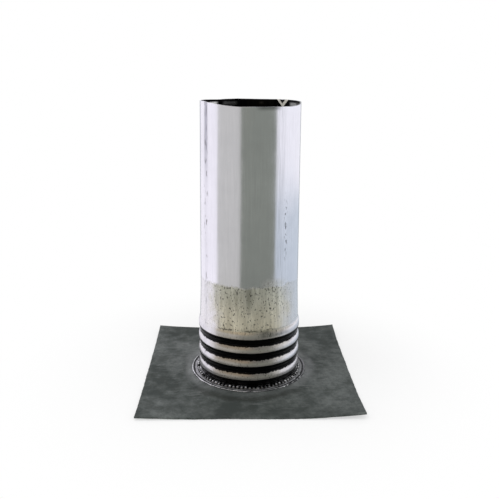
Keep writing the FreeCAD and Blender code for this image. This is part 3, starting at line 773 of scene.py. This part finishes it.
# The near-black colour of the bore is painted shade inside the tube.
black = mix(t, streaks, (0.006, 0.006, 0.006, 1), (0.016, 0.016, 0.015, 1))
below_rim = calc(t, "SUBTRACT", TOP, height)
BRIGHT_SPOTS = (     # where along the rim, how far to each side, how deep below the rim, how bright
    (142, 8, 5, 1.0),
    (115, 9, 6, 0.16),
    (75, 2, 5, 0.05),
    (24, 8, 8, 0.6),
    (10, 5, 7, 0.3),
)
bright_spots = None
for angle, spread, depth, level in BRIGHT_SPOTS:
    place = both_of(
        t, band(t, turn, math.radians(angle - spread), math.radians(angle + spread), 0.05),
        band(t, below_rim, 2 * MM, depth * MM, 1.0 * MM),
    )
    place = calc(t, "MULTIPLY", place, level)
    bright_spots = place if bright_spots is None else calc(t, "MAXIMUM", bright_spots, place)
crease_off = calc(t, "ABSOLUTE", calc(t, "DIVIDE", calc(t, "SUBTRACT", turn, NICK_TURN), NICK_WIDTH))
crease_line = calc(t, "ADD", crease_off, calc(t, "DIVIDE", below_rim, NICK_HEIGHT))
crease = band(t, crease_line, 0.42, 1.0, 0.06)
shown = mix(t, bright_spots, black, (1.0, 1.0, 1.0, 1))
shown = mix(t, crease, shown, (1.0, 0.96, 0.87, 1))
t.links.new(shown, shader.inputs["Base Color"])
t.links.new(ramp(t, calc(t, "MAXIMUM", bright_spots, crease), 0.0, 1.0, 1.0, 0.1), shader.inputs["Metallic"])
t.links.new(calc(t, "ADD", 0.30, calc(t, "MULTIPLY", streaks, 0.2)), shader.inputs["Roughness"])
bumped(t, shader, streaks, 0.15, 0.3 * MM)
print("bore_lead has", len(t.nodes), "nodes")

# %% [markdown]
# ## Milled sheet lead
# The milled sheet is a dull grey with a touch of green, clouded in patches from hand-sized down to a grain,
# and its gloss changes with the clouds. Round the seam lies a paler halo with a wandering outline, and thin
# scratches run across. A dark band along the halo's outer edge, in front of the sleeve, is painted shade.

# %% Sheet lead
t, shader, vector, far, turn, height = begin(sheet_lead)
patches = use(t, clouding, {"Vector": vector, "Broad": 13.0, "Fine": 70.0, "Contrast": 2.0})
grain = use(t, clouding, {"Vector": vector, "Broad": 190.0, "Fine": 520.0, "Contrast": 3.0})
rubs = use(t, lines, {"Vector": vector, "Along": (0.4, 1.0, 1.0), "Fineness": 110.0, "Sharpness": 1.0})
grey = mix(t, patches, (0.046, 0.055, 0.052, 1), (0.128, 0.142, 0.136, 1))
grey = mix(t, calc(t, "MULTIPLY", grain, 0.5), grey, (0.048, 0.055, 0.050, 1))
grey = mix(t, calc(t, "MULTIPLY", ramp(t, rubs, 0.62, 0.95), 0.10), grey, (0.17, 0.18, 0.18, 1))
halo_wander = calc(t, "SUBTRACT", noise_at(t, vector, 30.0, 4.0, 0.65), 0.5)
halo_reach = calc(t, "ADD", far, calc(t, "MULTIPLY", halo_wander, 20 * MM))
halo = ramp(t, halo_reach, 86.0 * MM, 77.0 * MM)
halo_grain = use(t, clouding, {"Vector": vector, "Broad": 60.0, "Fine": 420.0, "Contrast": 1.4})
halo_colour = mix(t, halo_grain, (0.11, 0.12, 0.12, 1), (0.24, 0.25, 0.25, 1))
halo_strength = ramp(t, calc(t, "SINE", turn), -0.55, -0.92, 0.95, 0.22)
grey = mix(t, calc(t, "MULTIPLY", halo, halo_strength), grey, halo_colour)
# A dark band along the halo's outer edge, in front of the sleeve, is painted shade.
front_painted_shade = both_of(
    t, band(t, halo_reach, 82 * MM, 92 * MM, 4 * MM), ramp(t, turn, math.radians(-40), math.radians(-60)),
    ramp(t, turn, math.radians(-150), math.radians(-125)), 0.55,
)
grey = mix(t, front_painted_shade, grey, (0.026, 0.028, 0.024, 1))
scratches = use(t, lines, {"Vector": vector, "Along": (0.12, 1.0, 1.0), "Fineness": 330.0, "Sharpness": 1.4})
scratch_zone = both_of(t, band(t, far, 80 * MM, 118 * MM, 6 * MM), use(t, clouding, {
    "Vector": vector, "Broad": 22.0, "Fine": 40.0, "Contrast": 2.2}))
scratch = both_of(t, ramp(t, scratches, 0.80, 1.0), scratch_zone)
grey = mix(t, calc(t, "MULTIPLY", scratch, 0.3), grey, (0.30, 0.31, 0.31, 1))
dust = use(t, specks, {"Vector": vector, "Fineness": 480.0, "Share": 0.05})
grey = mix(t, calc(t, "MULTIPLY", dust, 0.35), grey, (0.35, 0.36, 0.36, 1))
t.links.new(grey, shader.inputs["Base Color"])
shader.inputs["Metallic"].default_value = 0.25
t.links.new(ramp(t, patches, 0.0, 1.0, 0.72, 0.52, smooth=False), shader.inputs["Roughness"])
shader.inputs["Specular IOR Level"].default_value = 0.35
bumped(t, shader, calc(t, "ADD", calc(t, "MULTIPLY", grain, 0.5), patches), 0.25, 0.3 * MM)
print("sheet_lead has", len(t.nodes), "nodes")

# %% [markdown]
# ## Burned lead
# The seam is the same metal, melted and frozen again. Its colour is bright on everything that stands up, as
# painted highlights, and nearly black in the low places between ripples and in the gutter, as painted shade.
# Height above the sheet therefore tells bright from black, and noise breaks both up.

# %% Burned lead
t, shader, vector, far, turn, height = begin(burned_lead)
mottle = use(t, clouding, {"Vector": vector, "Broad": 140.0, "Fine": 700.0, "Contrast": 1.5})
wander = calc(t, "MULTIPLY", calc(t, "SUBTRACT", mottle, 0.5), 0.9 * MM)
standing = calc(t, "ADD", height, wander)
# Painted highlights: the ripples' tops, a band at the toe, the melted edge and a row of flecks get bright
# metal. Everywhere else is painted shade, nearly black.
ripple_top_highlights = both_of(
    t, ramp(t, standing, BASE + 2.1 * MM, BASE + 2.8 * MM), ramp(t, far, TOE - 0.6 * MM, TOE - 1.4 * MM),
)
toe_highlight = band(t, calc(t, "ADD", far, wander), TOE - 2.2 * MM, TOE + 0.6 * MM, 0.5 * MM)
toe_highlight = calc(t, "MULTIPLY", toe_highlight, 0.4)
melt_edge_highlight = both_of(
    t, ramp(t, far, GUTTER_OUT + 0.1 * MM, GUTTER_OUT + 0.7 * MM),
    ramp(t, standing, BASE + 0.3 * MM, BASE + 0.8 * MM),
)
# The melted edge's painted highlight is strongest on the left.
edge_highlight_side = ramp(t, calc(t, "COSINE", calc(t, "SUBTRACT", turn, math.radians(-170))), -0.2, 0.8, 0.35, 1.0)
melt_edge_highlight = calc(t, "MULTIPLY", melt_edge_highlight, edge_highlight_side)
fleck_glints = both_of(
    t, use(t, specks, {"Vector": vector, "Fineness": 330.0, "Share": 0.45}),
    band(t, turn, math.radians(-62), math.radians(-8), 0.15), ramp(t, far, 63 * MM, 65 * MM), 0.9,
)
raised_highlights = calc(t, "MAXIMUM", ripple_top_highlights, toe_highlight)
painted_highlights = calc(t, "MAXIMUM", raised_highlights, calc(t, "MAXIMUM", melt_edge_highlight, fleck_glints))
breaks = use(t, specks, {"Vector": vector, "Fineness": 300.0, "Share": 0.32})
painted_highlights = both_of(t, painted_highlights, ramp(t, breaks, 0.0, 1.0, 1.0, 0.25, smooth=False))
burned = mix(t, painted_highlights, (0.016, 0.016, 0.017, 1), (0.78, 0.78, 0.80, 1))
t.links.new(burned, shader.inputs["Base Color"])
shader.inputs["Metallic"].default_value = 1.0
t.links.new(ramp(t, mottle, 0.0, 1.0, 0.28, 0.45, smooth=False), shader.inputs["Roughness"])
bumped(t, shader, mottle, 0.3, 0.3 * MM)
print("burned_lead has", len(t.nodes), "nodes")

# %% [markdown]
# ## The studio
# A bright cylinder shows little but its surroundings, so the surroundings are part of its look. Around the
# boot stand, in thought, a pale wall on each side and behind, a grey one in front to the left and a darker,
# greenish one in front to the right. Each has its own colour near the ground and higher up, and over them
# is a light grey ceiling. For glossy rays the world looks up the compass direction and the height, and
# picks the colour. The camera itself sees plain white, and matt surfaces get an even pale light.

# %% World: walls for the gloss, white for the camera
world = bpy.data.worlds.new("studio")
bpy.context.scene.world = world
world.use_nodes = True
t = world.node_tree
t.nodes.clear()
way = add(t, "ShaderNodeTexCoord").outputs["Generated"]
way_x, way_y, way_z = add(t, "ShaderNodeSeparateXYZ", {0: way}).outputs
compass = calc(t, "ARCTAN2", way_x, calc(t, "MULTIPLY", way_y, -1.0))      # 0 in front, towards +X positive
WALL_EDGE = math.radians(1.2)
PALE = (1.0, 0.98, 1.05, 1)


def walls_at(*steps):
    """The colour in each compass direction: pale from behind, then each step's colour from its degrees on."""
    colour = PALE
    for start, beyond in steps:
        there = ramp(t, compass, math.radians(start) - WALL_EDGE, math.radians(start) + WALL_EDGE)
        colour = mix(t, there, colour, beyond)
    return colour


walls = walls_at(
    (-81, (0.60, 0.60, 0.59, 1)), (-23, (0.24, 0.26, 0.23, 1)), (60, (1.0, 1.0, 1.06, 1)),
)
ground = walls_at(
    (-81, (0.36, 0.34, 0.29, 1)), (-23, (0.08, 0.08, 0.075, 1)),
    (60, (0.75, 0.80, 0.85, 1)), (92, (0.42, 0.45, 0.48, 1)),
)
high = walls_at(
    (-81, (0.32, 0.26, 0.18, 1)), (-26, (0.36, 0.26, 0.15, 1)), (0, (0.05, 0.055, 0.05, 1)),
    (60, (1.0, 1.0, 1.0, 1)), (92, (0.45, 0.46, 0.47, 1)),
)
low_right = both_of(t, ramp(t, compass, math.radians(59), math.radians(61)), ramp(t, way_z, -0.15, -0.21))
walls = mix(t, low_right, walls, (0.60, 0.67, 0.75, 1))
walls = mix(t, ramp(t, way_z, -0.35, -0.39), walls, ground)
walls = mix(t, ramp(t, way_z, 0.03, 0.15), walls, high)
facing_back = ramp(t, calc(t, "ABSOLUTE", compass), math.radians(155), math.radians(160))
dark_behind = both_of(t, facing_back, ramp(t, way_z, 0.1, 0.0), 0.8)
walls = mix(t, dark_behind, walls, (0.28, 0.31, 0.34, 1))
ceiling = ramp(t, way_z, 0.58, 0.90)
surround = mix(t, ceiling, walls, (0.75, 0.75, 0.75, 1))
rays = add(t, "ShaderNodeLightPath").outputs
plain = mix(t, rays["Is Glossy Ray"], (0.7, 0.7, 0.7, 1), surround)
seen = mix(t, calc(t, "MAXIMUM", rays["Is Camera Ray"], rays["Is Transmission Ray"]), plain, (1, 1, 1, 1))
glow = add(t, "ShaderNodeBackground", {"Color": seen, "Strength": 1.0})
add(t, "ShaderNodeOutputWorld", {"Surface": glow.outputs[0]})

# %% [markdown]
# Two wide, soft lamps give matt surfaces a direction without hard shadows. They're left out of reflections,
# so that the walls above are all that the metal mirrors.

# %% Lamps
def soft_lamp(name, place, size, power):
    """A square area lamp aimed at the middle of the boot."""
    data = bpy.data.lights.new(name, "AREA")
    data.size, data.energy = size, power
    lamp = bpy.data.objects.new(name, data)
    lamp.location = place
    lamp.rotation_euler = (Vector((0, 0, TOP / 3)) - Vector(place)).to_track_quat("-Z", "Y").to_euler()
    lamp.visible_glossy = False
    bpy.context.scene.collection.objects.link(lamp)
    return lamp


soft_lamp("overhead_lamp", (-0.5, -0.4, 1.7), 1.6, 11.0)
soft_lamp("front_lamp", (0.9, -1.5, 0.9), 1.4, 7.0)

# %% [markdown]
# The floor is a plain white disc. Near the boot it's half matt, so that it takes a soft shadow, and towards
# its edge it turns into the white of the background, so that no edge shows.

# %% Floor
floor_mesh = bpy.data.meshes.new("floor")
made = bmesh.new()
bmesh.ops.create_circle(made, cap_ends=True, segments=96, radius=0.42)
made.to_mesh(floor_mesh)
made.free()
floor = new_piece("floor", floor_mesh)
floor.location.z = -0.2 * MM
floor.visible_glossy = False
floor_white = bpy.data.materials.new("floor_white")
floor_white.use_nodes = True
t = floor_white.node_tree
t.nodes.clear()
where = add(t, "ShaderNodeTexCoord").outputs["Object"]
from_middle = add(t, "ShaderNodeVectorMath", {0: where}, operation="LENGTH").outputs["Value"]
matt = add(t, "ShaderNodeBsdfDiffuse", {"Color": (0.95, 0.95, 0.95, 1)})
white = add(t, "ShaderNodeEmission", {"Color": (1, 1, 1, 1), "Strength": 1.0})
whiteness = ramp(t, from_middle, 0.14, 0.32, 0.5, 1.0)
fade = add(t, "ShaderNodeMixShader", {0: whiteness, 1: matt.outputs[0], 2: white.outputs[0]})
add(t, "ShaderNodeOutputMaterial", {"Surface": fade.outputs[0]})
floor_mesh.materials.append(floor_white)

# %% [markdown]
# ## Handing over
# Every piece now rides on the boot's one body, and each stands for the solid that it dresses.

# %% Ride on the body and replace the solids
for piece, node, finish in (
    (sleeve, "sleeve", "drawn_lead"), (sheet, "flashing_sheet", "sheet_lead"),
    (seam_ring, "burned_seam", "burned_lead"), (ripples, "burned_seam", "burned_lead"),
):
    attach(piece, "root")
    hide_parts(node)
